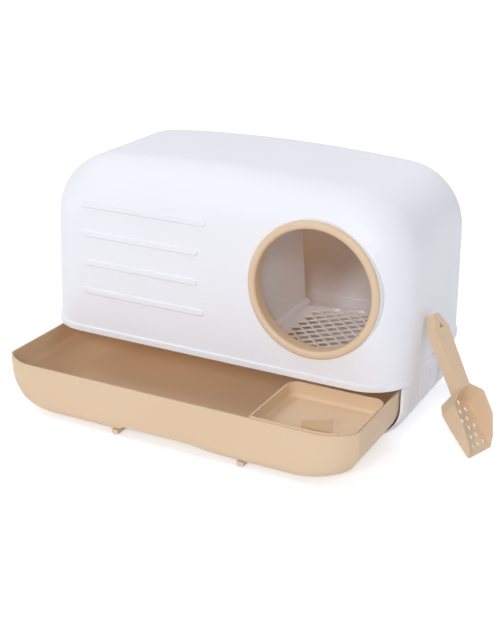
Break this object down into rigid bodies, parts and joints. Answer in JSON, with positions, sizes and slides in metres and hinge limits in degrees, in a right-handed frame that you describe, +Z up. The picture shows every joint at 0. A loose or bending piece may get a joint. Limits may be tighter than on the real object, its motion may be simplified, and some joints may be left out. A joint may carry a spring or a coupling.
{
  "type": "drawer_litter_box",
  "caption": "Closed cat litter box: white ribbed hood with a round entry, lattice step and partition inside, beige pull-out litter drawer with a lift-out tray, and a scoop leaning on its side.",
  "frame": {"origin": "middle of the base's flat underside, under the middle of the box", "axes": "+Z up; the entry and the drawer front face -Y; the entry and the scoop are on the +X side"},
  "size_m": [0.7179, 0.4589, 0.3775],
  "materials": {
    "white_plastic": "satin moulded",
    "beige_plastic": "satin moulded",
    "foot_pad": "matte"
  },
  "bodies": {
    "base": {"base_tub": "white_plastic", "base_feet": "foot_pad"},
    "hood": {"hood_shell": "white_plastic", "entry_ring": "beige_plastic", "step_grid": "white_plastic", "step_frame": "white_plastic", "partition_panel": "white_plastic"},
    "drawer": {"drawer_pan": "beige_plastic", "sift_tray": "beige_plastic"},
    "scoop": {"scoop": "beige_plastic"}
  },
  "joints": [
    {"name": "drawer_slide", "type": "slide", "parent": "base", "child": "drawer", "axis": [0, -1, 0], "range_m": [-0.135, 0.1]},
    {"name": "hood_lift", "type": "slide", "parent": "base", "child": "hood", "axis": [0, 0, 1], "range_m": [0, 0.06]},
    {"name": "scoop_take", "type": "slide", "parent": "base", "child": "scoop", "axis": [1, 0, 0], "range_m": [0, 0.15]}
  ]
}
